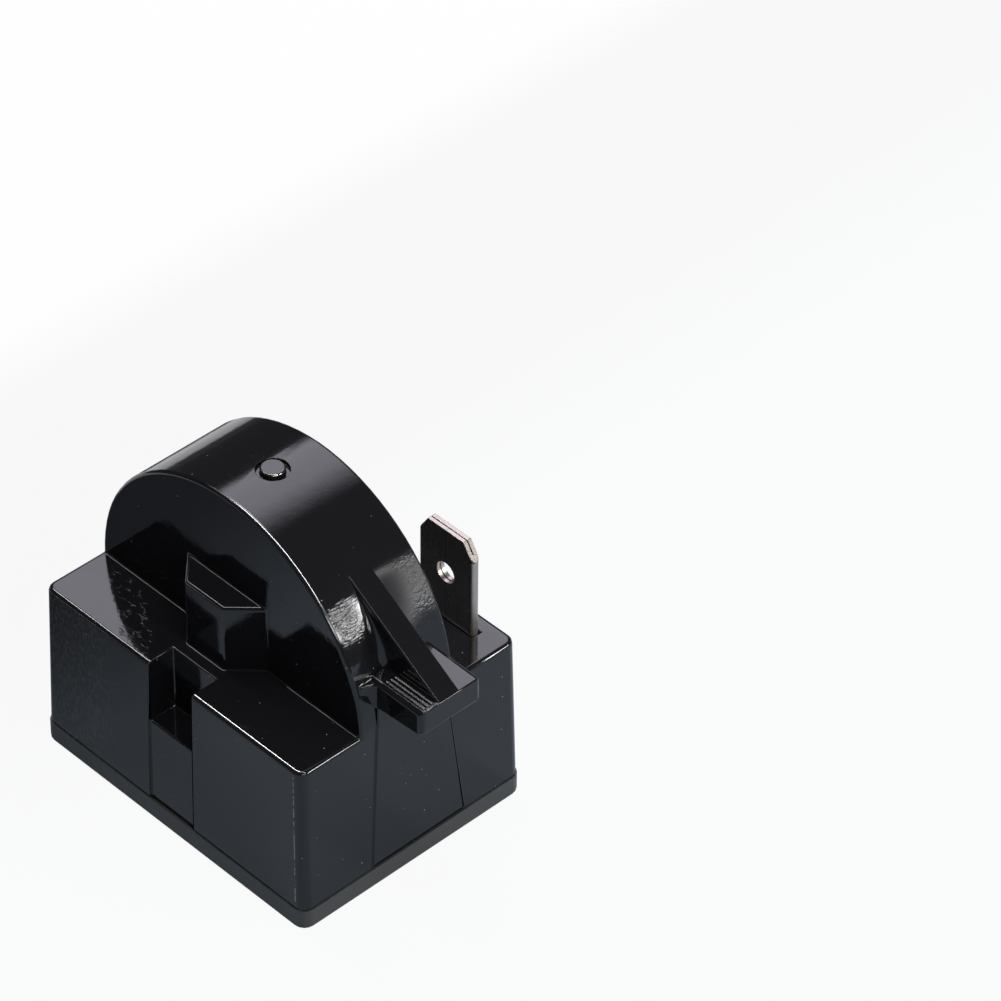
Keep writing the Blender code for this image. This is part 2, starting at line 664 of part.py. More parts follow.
def contact_spring(name, plate_y, disc_y, material):
    """Waved leaf with fingers; plate_y and disc_y are the faces that it lies between."""
    towards = math.copysign(1, disc_y - plate_y)
    rest_y = plate_y + towards * FIT_GAP
    lift = abs(disc_y - plate_y) - 2 * FIT_GAP - LEAF_SHEET
    foot = LEAF_Z - LEAF_HEIGHT / 2
    span = LEAF_HEIGHT - 2 * LEAF_BAND
    line = [(rest_y, foot)]
    for step in range(WAVE_STEPS + 1):
        share = step / WAVE_STEPS
        rise = lift * (1 - math.cos(math.tau * LEAF_WAVES * share)) / 2
        line.append((rest_y + towards * rise, foot + LEAF_BAND + span * share))
    line.append((rest_y, foot + LEAF_HEIGHT))
    skin = [(y + towards * LEAF_SHEET, z) for y, z in reversed(line)]
    outline = [(-LEAF_WIDTH / 2, y, z) for y, z in line + skin]
    leaf = make_object(name, extruded(outline, (LEAF_WIDTH, 0, 0)), material)
    pitch = LEAF_WIDTH / LEAF_FINGERS
    low_y, high_y = min(plate_y, disc_y) - OVERSHOOT, max(plate_y, disc_y) + OVERSHOOT
    for index in range(1, LEAF_FINGERS):
        middle = -LEAF_WIDTH / 2 + pitch * index
        slot = box((middle - LEAF_SLOT / 2, low_y, foot + LEAF_BAND),
                   (middle + LEAF_SLOT / 2, high_y, foot + LEAF_HEIGHT - LEAF_BAND))
        combine(leaf, "DIFFERENCE", make_object(name + "_slot", slot))
    return leaf


# Folded terminals

def bend(center_y, center_z, start, turn):
    """Outer and inner points of a quarter bend, as two lists of (y, z)."""
    outer, inner = [], []
    for step in range(ROUNDING_STEPS + 1):
        angle = math.radians(start + turn * step / ROUNDING_STEPS)
        for radius, points in ((BEND_RADIUS + SHEET, outer), (BEND_RADIUS, inner)):
            points.append((center_y + radius * math.cos(angle), center_z + radius * math.sin(angle)))
    return outer, inner


def run_terminal_sheet():
    """Profile of the run terminal: contact plate, shelf and the tab's back ply."""
    reach = BEND_RADIUS + SHEET
    plate_outer, tab_outer = PLATE_BACK_Y - SHEET, TAB_BACK_Y
    first_outer, first_inner = bend(plate_outer + reach, SHELF_HEIGHT + reach, 180, 90)
    second_outer, second_inner = bend(tab_outer - reach, SHELF_HEIGHT + reach, 270, 90)
    tab_top = TAB_PLY_FOOT + 2 * SHEET
    outline = [(plate_outer, PLATE_TOP)] + first_outer + second_outer + [(tab_outer, tab_top)]
    outline += [(tab_outer - SHEET, tab_top)] + second_inner[::-1] + first_inner[::-1]
    outline += [(PLATE_BACK_Y, PLATE_TOP)]
    left, right = -PLATE_HALF_WIDTH, TAB_X + TAB_WIDTH / 2
    return extruded([(left, y, z) for y, z in outline], (right - left, 0, 0))


def folded_tab_section():
    """Section of the spade tab: a back ply whose two sides fold forward to meet in a seam."""
    half = TAB_WIDTH / 2
    outer = TAB_THICKNESS / 2
    inner = TAB_PLY_GAP / 2
    middle_y = TAB_BACK_Y - outer
    turns = [math.radians(90 - 180 * step / ARC_STEPS) for step in range(ARC_STEPS + 1)]

    def fold(radius, side):
        middle_x = TAB_X + side * (half - outer)
        return [(middle_x + side * radius * math.cos(turn), middle_y + radius * math.sin(turn))
                for turn in turns]

    seam = TAB_SEAM / 2
    outside = fold(outer, -1)[::-1] + fold(outer, 1)
    inside = fold(inner, 1)[::-1] + fold(inner, -1)
    points = outside + [(TAB_X + seam, middle_y - outer), (TAB_X + seam, middle_y - inner)]
    points += inside + [(TAB_X - seam, middle_y - inner), (TAB_X - seam, middle_y - outer)]
    return points


def run_terminal(material):
    """Run terminal folded from one sheet, with its two-ply spade tab."""
    terminal = make_object("run_terminal", run_terminal_sheet(), material)
    tab_left, tab_right = TAB_X - TAB_WIDTH / 2, TAB_X + TAB_WIDTH / 2
    shelf_front = PLATE_BACK_Y + FIT_GAP
    under = SHELF_HEIGHT - OVERSHOOT
    shelf_cut = box((-END_X, shelf_front, under), (SHELF_INNER_X, SIDE_Y, BOX_TOP))
    tab_cut = box((0, TAB_BACK_Y - SHEET - BEND_RADIUS, under), (tab_left, SIDE_Y, BOX_TOP))
    plate_cut = box((PLATE_HALF_WIDTH, DISC_BACK, SHELF_HEIGHT + ARM_HEIGHT),
                    (END_X, shelf_front, DRUM_CROWN))
    foot_cut = box((-END_X, DISC_BACK, under),
                   (SHELF_INNER_X, shelf_front, SHELF_HEIGHT + BEND_RADIUS + SHEET))
    for name, bm in (("run_shelf_cut", shelf_cut), ("run_tab_cut", tab_cut),
                     ("run_plate_cut", plate_cut), ("run_foot_cut", foot_cut)):
        combine(terminal, "DIFFERENCE", make_object(name, bm))
    tab = make_object("tab_fold", extruded(
        [(x, y, TAB_PLY_FOOT) for x, y in folded_tab_section()], (0, 0, TAB_TOP - TAB_PLY_FOOT)))
    combine(terminal, "UNION", tab)
    near_y, far_y = TAB_BACK_Y - TAB_THICKNESS - OVERSHOOT, TAB_BACK_Y + OVERSHOOT
    for edge, inward in ((tab_left, 1), (tab_right, -1)):
        out = edge - inward * OVERSHOOT
        slope = TAB_CHAMFER_HEIGHT / TAB_CHAMFER_WIDTH
        corner = [(out, near_y, TAB_TOP - TAB_CHAMFER_HEIGHT - OVERSHOOT * slope),
                  (edge + inward * (TAB_CHAMFER_WIDTH + OVERSHOOT), near_y, TAB_TOP + OVERSHOOT * slope),
                  (out, near_y, TAB_TOP + OVERSHOOT * slope)]
        combine(terminal, "DIFFERENCE", make_object("tab_corner", extruded(corner, (0, far_y - near_y, 0))))
    hole_z = TAB_TOP - TAB_HOLE_DROP
    hole = [(TAB_X + TAB_HOLE_RADIUS * math.cos(a), near_y, hole_z + TAB_HOLE_RADIUS * math.sin(a))
            for a in [math.tau * (step + 0.5) / SMALL_SEGMENTS for step in range(SMALL_SEGMENTS)]]
    combine(terminal, "DIFFERENCE", make_object("tab_hole", extruded(hole, (0, far_y - near_y, 0))))
    combine(terminal, "DIFFERENCE", make_object("run_rivet_hole", rivet_hole(1)))
    return terminal


def start_terminal(material):
    """Start terminal folded from one sheet, with an arm round the disc's side."""
    reach = BEND_RADIUS + SHEET
    shelf_back = TAB_BACK_Y - SHEET - BEND_RADIUS
    outer, inner = bend(PLATE_FRONT_Y + reach, SHELF_HEIGHT + reach, 270, -90)
    outline = [(shelf_back, SHELF_HEIGHT)] + outer + [(PLATE_FRONT_Y, PLATE_TOP)]
    outline += [(PLATE_FRONT_Y + SHEET, PLATE_TOP)] + inner[::-1] + [(shelf_back, SHELF_HEIGHT + SHEET)]
    left, right = -SHELF_EDGE_X, PLATE_HALF_WIDTH
    sheet = extruded([(left, y, z) for y, z in outline], (right - left, 0, 0))
    terminal = make_object("start_terminal", sheet, material)
    arm_inner = left + ARM_WIDTH
    shelf_front = PLATE_BACK_Y + 2 * FIT_GAP
    plate_inside = PLATE_FRONT_Y + SHEET + FIT_GAP
    cuts = {
        "start_shelf_cut": box((-SHELF_INNER_X, shelf_front - OVERSHOOT, SHELF_HEIGHT - OVERSHOOT),
                               (END_X, SIDE_Y, BOX_TOP)),
        "start_arm_cut": box((arm_inner, plate_inside, SHELF_HEIGHT - OVERSHOOT),
                             (END_X, shelf_front, BOX_TOP)),
        "start_plate_cut": box((-END_X, -SIDE_Y, SHELF_HEIGHT + ARM_HEIGHT),
                               (-PLATE_HALF_WIDTH, plate_inside, DRUM_CROWN)),
        "start_foot_cut": box((arm_inner, -SIDE_Y, SHELF_HEIGHT - OVERSHOOT),
                              (END_X, plate_inside + FIT_GAP, SHELF_HEIGHT + BEND_RADIUS + SHEET)),
        "start_rivet_hole": rivet_hole(-1),
    }
    for name, bm in cuts.items():
        combine(terminal, "DIFFERENCE", make_object(name, bm))
    return terminal


# Pin sockets, clamp springs and rivets

def rivet_center(side):
    """Where a rivet joins a socket to its terminal."""
    return side * (PIN_PITCH / 2 + RIVET_OFFSET), PIN_ROW_Y


def rivet_hole(side):
    """Hole for the rivet's shank through the shelf and the tongue."""
    radius = RIVET_RADIUS + FIT_GAP
    return pillar(rivet_center(side), [(radius, SLEEVE_TOP - SHEET - OVERSHOOT / 2),
                                       (radius, SHELF_HEIGHT + SHEET + OVERSHOOT / 2)])


def pin_socket(name, side, material):
    """Rolled sleeve with a flared mouth and a tongue for its rivet."""
    center = (side * PIN_PITCH / 2, PIN_ROW_Y)
    levels = [(SLEEVE_FOOT, MOUTH_FLARE), (SLEEVE_FOOT + MOUTH_HEIGHT, 0.0), (SLEEVE_TOP, 0.0)]
    facing = math.radians(90 + 90 * side)
    socket = make_object(name, split_ring(SLEEVE_BORE_RADIUS, SLEEVE_RADIUS, SLEEVE_SLIT, center, facing,
                                          levels), material)
    near_x = center[0] + side * (SLEEVE_BORE_RADIUS + SHEET / 2)
    far_x = rivet_center(side)[0] + side * (RIVET_HEAD_RADIUS + FIT_GAP)
    tongue = box((min(near_x, far_x), PIN_ROW_Y - TONGUE_WIDTH / 2, SLEEVE_TOP - SHEET),
                 (max(near_x, far_x), PIN_ROW_Y + TONGUE_WIDTH / 2, SLEEVE_TOP))
    bore = pillar(center, [(SLEEVE_BORE_RADIUS + SHEET / 4, SLEEVE_TOP - 2 * SHEET),
                           (SLEEVE_BORE_RADIUS + SHEET / 4, SLEEVE_TOP + OVERSHOOT)])
    tongue_tool = make_object(name + "_tongue", tongue)
    combine(tongue_tool, "DIFFERENCE", make_object(name + "_bore", bore))
    combine(socket, "UNION", tongue_tool)
    combine(socket, "DIFFERENCE", make_object(name + "_rivet_hole", rivet_hole(side)))
    return socket


def socket_clip(name, side, material):
    """Steel spring that clamps the sleeve on the compressor's pin."""
    center = (side * PIN_PITCH / 2, PIN_ROW_Y)
    facing = math.radians(90 - 90 * side)
    levels = [(CLIP_FOOT, 0.0), (CLIP_FOOT + CLIP_HEIGHT, 0.0)]
    return make_object(name, split_ring(CLIP_BORE_RADIUS, CLIP_RADIUS, CLIP_SLIT, center, facing, levels),
                       material)


def socket_rivet(name, side, material):
    """Rivet with a domed head above and a set head below."""
    head_foot = SHELF_HEIGHT + SHEET + FIT_GAP
    set_top = SLEEVE_TOP - SHEET - FIT_GAP
    levels = [(RIVET_SHOULDER_RADIUS, set_top - RIVET_HEAD), (RIVET_HEAD_RADIUS, set_top - RIVET_HEAD / 2),
              (RIVET_HEAD_RADIUS, set_top), (RIVET_RADIUS, set_top), (RIVET_RADIUS, head_foot),
              (RIVET_HEAD_RADIUS, head_foot), (RIVET_SHOULDER_RADIUS, head_foot + RIVET_HEAD / 2),
              (RIVET_DOME_RADIUS, head_foot + RIVET_HEAD)]
    return make_object(name, pillar(rivet_center(side), levels), material)


def main():
    clear_scene()
    black_plastic = make_material("black_plastic", (0.012, 0.013, 0.015), 0.18, 0.0)
    ceramic = make_material("silvered_ceramic", (0.55, 0.55, 0.54), 0.45, 0.3)
    plated_steel = make_material("plated_steel", (0.60, 0.58, 0.56), 0.28, 1.0)
    spring_steel = make_material("spring_steel", (0.52, 0.52, 0.53), 0.30, 1.0)
    brass = make_material("brass", (0.78, 0.62, 0.32), 0.32, 1.0)
    housing_shell(black_plastic)
    base_cover(black_plastic)
    ptc_disc(ceramic)
    contact_spring("start_contact_spring", PLATE_FRONT_Y + SHEET, DISC_FRONT, spring_steel)
    contact_spring("run_contact_spring", PLATE_BACK_Y - SHEET, DISC_BACK, spring_steel)
    run_terminal(plated_steel)
    start_terminal(plated_steel)
    for word, side in (("run", 1), ("start", -1)):
        pin_socket(word + "_pin_socket", side, brass)
        socket_clip(word + "_socket_clip", side, spring_steel)
        socket_rivet(word + "_socket_rivet", side, brass)


main()
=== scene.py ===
"""Looks of a compressor start relay: black glossy mouldings, a folded spade tab and the metal inside."""

import math

import bmesh
import bpy
from mathutils import Matrix, Vector


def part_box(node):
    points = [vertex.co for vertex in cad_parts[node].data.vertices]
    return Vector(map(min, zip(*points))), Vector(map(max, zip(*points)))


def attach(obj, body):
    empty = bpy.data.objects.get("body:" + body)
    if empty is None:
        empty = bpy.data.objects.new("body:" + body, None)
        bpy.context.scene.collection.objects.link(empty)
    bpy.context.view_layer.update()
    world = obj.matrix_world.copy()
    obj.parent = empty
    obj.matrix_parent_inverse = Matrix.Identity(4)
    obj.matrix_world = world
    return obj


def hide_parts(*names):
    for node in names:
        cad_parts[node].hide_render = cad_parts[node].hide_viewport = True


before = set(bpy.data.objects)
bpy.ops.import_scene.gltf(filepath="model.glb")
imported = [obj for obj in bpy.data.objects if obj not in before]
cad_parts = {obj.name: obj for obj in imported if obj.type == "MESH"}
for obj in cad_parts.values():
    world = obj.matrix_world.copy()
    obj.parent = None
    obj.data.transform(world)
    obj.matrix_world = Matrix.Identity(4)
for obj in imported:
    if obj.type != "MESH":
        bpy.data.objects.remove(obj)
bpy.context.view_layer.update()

MM = 0.001
BODY = "root"
PHOTO_PIXELS = 1001

# Form of the solids, in millimetres

DRUM_RADIUS = 15.4
DRUM_CENTRE_Z = 16.35
DRUM_FRONT = -5.35
DRUM_BACK = 4.7
RIM_ROUNDING = 0.36
CROWN_HEIGHT = 29.0
MARK_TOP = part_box("housing_shell")[1].z / MM

BOX_TOP = 16.54
BOX_FRONT = -11.65
BOX_END = 15.4
BOX_ROUNDING = 0.42
CORNER_RADIUS = 0.95
DRAFT_SLOPE = 0.3 / 14.54
SEAM = 2.0

RIB_FRONT = -1.76
RIB_BACK = 0.49
LEDGE_TOP = 21.4
LEDGE_END = 20.45
# The low and high corners of a box round the ledge and its rib
LEDGE_AND_RIB = ((9.0, -4.6, 17.0), (20.6, 3.4, 28.0))

# The tab's low and high sides along x and y
TAB_LOW = (6.46, 9.20)
TAB_HIGH = (12.76, 10.05)
TAB_MIDDLE = (TAB_LOW[0] + TAB_HIGH[0]) / 2
TERMINAL_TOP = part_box("run_terminal")[1].z / MM

DISC_FRONT, DISC_BACK = [corner.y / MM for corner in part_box("ptc_disc")]


# Camera, fitted to the photo's straight edges

CAMERA_AZIMUTH = 45.578
CAMERA_ELEVATION = 40.607
CAMERA_ROLL = 0.746
CAMERA_DISTANCE = 432.514
CAMERA_SHIFT_RIGHT = 17.897
CAMERA_SHIFT_UP = 21.492
CAMERA_CLIP = 10.0
FOCAL_PIXELS = 5262.34
SENSOR_WIDTH = 36.0


def place_camera():
    """The photo's viewpoint: above the corner between the notched side and the ledge."""
    azimuth = math.radians(CAMERA_AZIMUTH)
    elevation = math.radians(CAMERA_ELEVATION)
    roll = math.radians(CAMERA_ROLL)
    level = math.cos(elevation)
    back = Vector((math.sin(azimuth) * level, -math.cos(azimuth) * level, math.sin(elevation)))
    level_right = Vector((math.cos(azimuth), math.sin(azimuth), 0.0))
    level_up = back.cross(level_right)
    right = math.cos(roll) * level_right + math.sin(roll) * level_up
    up = math.cos(roll) * level_up - math.sin(roll) * level_right
    data = bpy.data.cameras.new("camera")
    data.sensor_width = SENSOR_WIDTH
    data.lens = FOCAL_PIXELS / PHOTO_PIXELS * SENSOR_WIDTH
    data.clip_start = CAMERA_CLIP * MM
    camera = bpy.data.objects.new("camera", data)
    bpy.context.scene.collection.objects.link(camera)
    turn = Matrix((right, up, back)).transposed().to_4x4()
    turn.translation = (CAMERA_SHIFT_RIGHT * right + CAMERA_SHIFT_UP * up + CAMERA_DISTANCE * back) * MM
    camera.matrix_world = turn
    bpy.context.scene.camera = camera


# Shader maths

# Places of the Mix node's colour sockets, whose names repeat
MIX_FACTOR, MIX_FIRST, MIX_SECOND, MIX_RESULT = 0, 6, 7, 2


class Value:
    """One output of a node, on which arithmetic adds Math nodes."""

    def __init__(self, finish, output):
        self.finish = finish
        self.output = output

    def _math(self, operation, first, second):
        return self.finish.node("ShaderNodeMath", {"operation": operation}, {0: first, 1: second})

    def __add__(self, other):
        return self._math("ADD", self, other)

    def __radd__(self, other):
        return self._math("ADD", other, self)

    def __sub__(self, other):
        return self._math("SUBTRACT", self, other)

    def __rsub__(self, other):
        return self._math("SUBTRACT", other, self)

    def __mul__(self, other):
        return self._math("MULTIPLY", self, other)

    def __rmul__(self, other):
        return self._math("MULTIPLY", other, self)

    def __truediv__(self, other):
        return self._math("DIVIDE", self, other)

    def __pow__(self, other):
        return self._math("POWER", self, other)

    def __gt__(self, other):
        return self._math("GREATER_THAN", self, other)

    def __lt__(self, other):
        return self._math("LESS_THAN", self, other)

    def __abs__(self):
        return self._math("ABSOLUTE", self, 0.0)


class Finish:
    """A material and the nodes that make it."""

    def __init__(self, name):
        self.material = bpy.data.materials.new(name)
        self.material.use_nodes = True
        self.start(self.material.node_tree)
        self.place = self.node("ShaderNodeTexCoord", output="Object")
        metres = self.node("ShaderNodeSeparateXYZ", None, {0: self.place}, output=None)
        self.axes = [axis / MM for axis in metres]

    def start(self, tree):
        self.tree = tree
        tree.nodes.clear()

    @classmethod
    def for_tree(cls, tree):
        """The same helper for a lamp's or the world's nodes."""
        finish = cls.__new__(cls)
        finish.start(tree)
        return finish

    def node(self, kind, settings=None, sockets=None, output=0):
        """A node with its settings made first and its sockets filled after, as the value of one output."""
        node = self.tree.nodes.new(kind)
        for key, setting in (settings or {}).items():
            setattr(node, key, setting)
        for key, content in (sockets or {}).items():
            if isinstance(content, Value):
                self.tree.links.new(content.output, node.inputs[key])
            else:
                node.inputs[key].default_value = content
        if output is None:
            return [Value(self, each) for each in node.outputs]
        return Value(self, node.outputs[output])

    def noise(self, size_mm, detail, stretch=(1.0, 1.0, 1.0)):
        """Cloudy noise whose patches are about size_mm across."""
        scale = [1.0 / (size_mm * MM * each) for each in stretch]
        sockets = {"Vector": self.place, "Scale": scale}
        spot = self.node("ShaderNodeMapping", {"vector_type": "POINT"}, sockets)
        return self.node("ShaderNodeTexNoise", None, {"Vector": spot, "Scale": 1.0, "Detail": detail})

    def specks(self, spacing_mm, radius_mm):
        """1 in small round specks about spacing_mm apart, 0 between them."""
        scale = 1.0 / (spacing_mm * MM)
        distance = self.node("ShaderNodeTexVoronoi", None, {"Vector": self.place, "Scale": scale})
        return self.step(radius_mm / spacing_mm, SPECK_CORE * radius_mm / spacing_mm, distance)

    def step(self, start, end, value):
        """Goes smoothly from 0 at start to 1 at end."""
        sockets = {"Value": value, "From Min": start, "From Max": end}
        return self.node("ShaderNodeMapRange", {"interpolation_type": "SMOOTHSTEP"}, sockets)

    def between(self, value, low, high, blur):
        """1 where the value lies between low and high, with soft borders."""
        return self.step(low - blur, low + blur, value) * self.step(high + blur, high - blur, value)

    def hill(self, value, start, full, fall, end):
        """Rises from 0 at start to 1 at full, and falls back to 0 from fall to end."""
        return self.step(start, full, value) * self.step(end, fall, value)

    def blend(self, factor, first, second):
        """The first colour where the factor is 0, the second where it is 1."""
        sockets = {MIX_FACTOR: factor, MIX_FIRST: first, MIX_SECOND: second}
        return self.node("ShaderNodeMix", {"data_type": "RGBA"}, sockets, output=MIX_RESULT)

    def relief(self, height_mm):
        """A bumped normal from a height in millimetres."""
        return self.node("ShaderNodeBump", None, {"Height": height_mm, "Strength": 1.0, "Distance": MM})

    def surface(self, sockets):
        """The Principled shader and the material's output."""
        shader = self.node("ShaderNodeBsdfPrincipled", None, sockets)
        self.node("ShaderNodeOutputMaterial", None, {"Surface": shader}, output=None)
        return self.material


def colour(red, green, blue):
    return (red, green, blue, 1.0)


# Colours of the plastic, with the mirror colours of the painted highlights on its edges

HOUSING_BLACK = colour(0.0075, 0.0075, 0.0090)
COVER_BLACK = colour(0.043, 0.043, 0.042)
# Pale colour of the dust specks, and of the painted highlight along the corner flash
PALE_DUST_AND_HIGHLIGHT = colour(0.30, 0.30, 0.31)
WORN_BLACK = colour(0.060, 0.062, 0.062)
HIGHLIGHT_MIRROR_RIGHT = colour(0.34, 0.34, 0.35)
HIGHLIGHT_MIRROR_LEFT = colour(0.13, 0.13, 0.135)
HIGHLIGHT_CHANGE_X = (-2.0, 3.0)
WORN_SHARE = 0.5
PLASTIC_IOR = 1.5

# Textures of the plastic: the size of their patches in millimetres, their detail and their stretch

RIPPLE = (1.5, 2.0)
GRAIN = (0.28, 3.0)
STROKES = (0.16, 3.0, (1.0, 5.0, 1.0))
MOTTLE = (0.26, 3.0, (1.0, 1.5, 1.0))
PITS = (0.26, 2.0, (1.0, 1.0, 2.4))
CURLS = (0.7, 3.0, (2.2, 1.0, 1.0))
CURL_GAPS = (0.9, 2.0)
FLASH_GAPS = (0.5, 2.0)
PATCHES = (4.0, 2.0)
COVER_GRAIN = (0.15, 3.0)
COVER_CLOUD = (4.0, 3.0)

# Where a texture's noise turns from nothing to full, and how far a scuff reaches from the noise's middle

NOISE_MIDDLE = 0.5
CURL_WIDTH = 0.035
CURL_GAP_RANGE = (0.47, 0.58)
FLASH_GAP_RANGE = (0.42, 0.52)
PIT_RANGE = (0.47, 0.60)
PATCH_RANGE = (0.40, 0.60)
COVER_PATCH_RANGE = (0.45, 0.6)

# Heights of the textures, in millimetres

RIPPLE_HEIGHT = 0.011
GRAIN_HEIGHT = 0.0038
STROKE_HEIGHT = 0.075
MOTTLE_HEIGHT = 0.08
SCUFF_HEIGHT = 0.03
PIT_HEIGHT = 0.025
DUST_HEIGHT = 0.02
FLASH_HEIGHT = 0.02
LINE_HEIGHT = 0.028
COVER_GRAIN_HEIGHT = 0.002
COVER_CLOUD_HEIGHT = 0.01

# Dust specks: their spacing and radius in millimetres, and the share of the radius that is solid

HOUSING_DUST = (1.05, 0.06)
COVER_DUST = (2.9, 0.06)
SPECK_CORE = 0.6

# Roughness of the plastic, and what each kind of wear adds to it

HOUSING_ROUGHNESS = 0.06
PATCH_ROUGHNESS = 0.04
BRUSHED_ROUGHNESS = 0.03
MATT_AT_RIB = 0.80
MATT_LOST_BEHIND = 0.46
DUST_ROUGHNESS = 0.4
COVER_ROUGHNESS = 0.3
CLOUD_ROUGHNESS = 0.12

# Where the housing is worn, and where highlights are painted on its edges: places in millimetres, and turns
# round the drum in degrees from its crown.
# Four values are a hill's start, full height, fall and end. Three are a range's low and high ends and blur.

BRUSHED_TURN = (44.5, 48.5, 52.0, 63.0)
BRUSHED_Y = (DRUM_FRONT + 0.2, -4.6, -3.4, RIB_FRONT)
MATT_TURN = (42.0, 48.5, 52.0, 74.0)
MOTTLED_FULL_Y = 3.4
MATT_END_Y = DRUM_BACK - 0.2
DRUM_WEAR_Z = BOX_TOP + 4.0

# Painted highlight: a mirror-like band just under the edges' tangents, where the lamps' highlights fall
HIGHLIGHT_DEPTH = 0.09
HIGHLIGHT_RIM_TURN = (0.0, 50.0, 7.0)
HIGHLIGHT_MARK_DEPTH = 0.17
FACE_MARGIN = 0.002

SCUFF_SLANT = 1.38
SCUFF_BAND = (-21.6, -17.9, 0.7)
SCUFF_Y = (-11.3, -6.0, 0.3)
SHELF_Z = (BOX_TOP - 0.1, BOX_TOP + 0.1, 0.05)

PITTED_X = (-4.0, -10.0)
PITTED_Y = (-4.6, -9.0)
PITTED_TOP = BOX_TOP - 0.2

LINE_PITCH = 0.42
LINES_X = (15.8, LEDGE_END - 0.3, 0.3)
LINES_Y = (-3.3, RIB_FRONT - 0.1, 0.1)
LINES_Z = (LEDGE_TOP - 0.2, LEDGE_TOP + 0.1, 0.05)

FLASH_HALF_WIDTH = 0.045
FLASH_BACK_Y = BOX_FRONT + 0.1
FLASH_Z = (2.3, 15.9, 0.1)


def drum_angle(finish):
    """Degrees round the drum's axis from its crown, more towards the ledge."""
    x, _, z = finish.axes
    radians = finish.node("ShaderNodeMath", {"operation": "ARCTAN2"}, {0: x, 1: z - DRUM_CENTRE_Z})
    return radians * math.degrees(1.0)


def painted_edge_highlights(finish, turn):
    """Painted highlight: a mirror-like band on the front top edge, the drum's rim and the mark's edge on its
    crown, where the lamps' highlights fall.
    """
    x, y, z = finish.axes
    across = (x * x + (z - DRUM_CENTRE_Z) * (z - DRUM_CENTRE_Z)) ** 0.5
    under_top = (z > BOX_TOP - HIGHLIGHT_DEPTH) * (z < BOX_TOP - FACE_MARGIN)
    box_edge = under_top * (y < BOX_FRONT + BOX_ROUNDING)
    behind_front = (y > DRUM_FRONT + FACE_MARGIN) * (y < DRUM_FRONT + RIM_ROUNDING)
    rim = behind_front * (across > DRUM_RADIUS - HIGHLIGHT_DEPTH) * finish.between(turn, *HIGHLIGHT_RIM_TURN)
    mark_edge = (z > MARK_TOP - HIGHLIGHT_MARK_DEPTH) * (z < MARK_TOP - FACE_MARGIN)
    return box_edge + rim + mark_edge


def corner_flash_and_highlight(finish):
    """The broken line of moulding flash down the front corner, whose pale colour is a painted highlight."""
    x, y, z = finish.axes
    off_corner = x - (BOX_END - CORNER_RADIUS) + (z - BOX_TOP) * DRAFT_SLOPE
    broken = finish.step(*FLASH_GAP_RANGE, finish.noise(*FLASH_GAPS))
    return (abs(off_corner) < FLASH_HALF_WIDTH) * (y < FLASH_BACK_Y) * finish.between(z, *FLASH_Z) * broken


def brushed_field(finish, turn):
    """The brushed part of the drum, between its front rim and the rib."""
    _, y, z = finish.axes
    return finish.hill(turn, *BRUSHED_TURN) * finish.hill(y, *BRUSHED_Y) * (z > DRUM_WEAR_Z)


def matt_field(finish, turn):
    """The matt part of the drum, from the rib to its back rim."""
    _, y, z = finish.axes
    return finish.hill(turn, *MATT_TURN) * (y > RIB_BACK) * (y < MATT_END_Y) * (z > DRUM_WEAR_Z)


def shelf_scuffs(finish):
    """Short curled scuffs in a slanted band on the low shelf."""
    x, y, z = finish.axes
    band = finish.between(x + y * SCUFF_SLANT, *SCUFF_BAND) * finish.between(y, *SCUFF_Y)
    on_shelf = band * finish.between(z, *SHELF_Z)
    broken = finish.step(*CURL_GAP_RANGE, finish.noise(*CURL_GAPS))
    curls = finish.step(CURL_WIDTH, 0.0, abs(finish.noise(*CURLS) - NOISE_MIDDLE))
    return curls * broken * on_shelf


def pitted_wall(finish):
    """The pitted part of the walls below the low shelf."""
    x, y, z = finish.axes
    return finish.step(*PITTED_X, x) * finish.step(*PITTED_Y, y) * (z < PITTED_TOP)


def ledge_lines(finish):
    """Fine waves across the ledge's top, before the rib, and 0 elsewhere."""
    x, y, z = finish.axes
    on_ledge = finish.between(y, *LINES_Y) * finish.between(x, *LINES_X) * finish.between(z, *LINES_Z)
    waves = finish.node("ShaderNodeMath", {"operation": "SINE"}, {0: y * (2.0 * math.pi / LINE_PITCH)})
    return waves * on_ledge


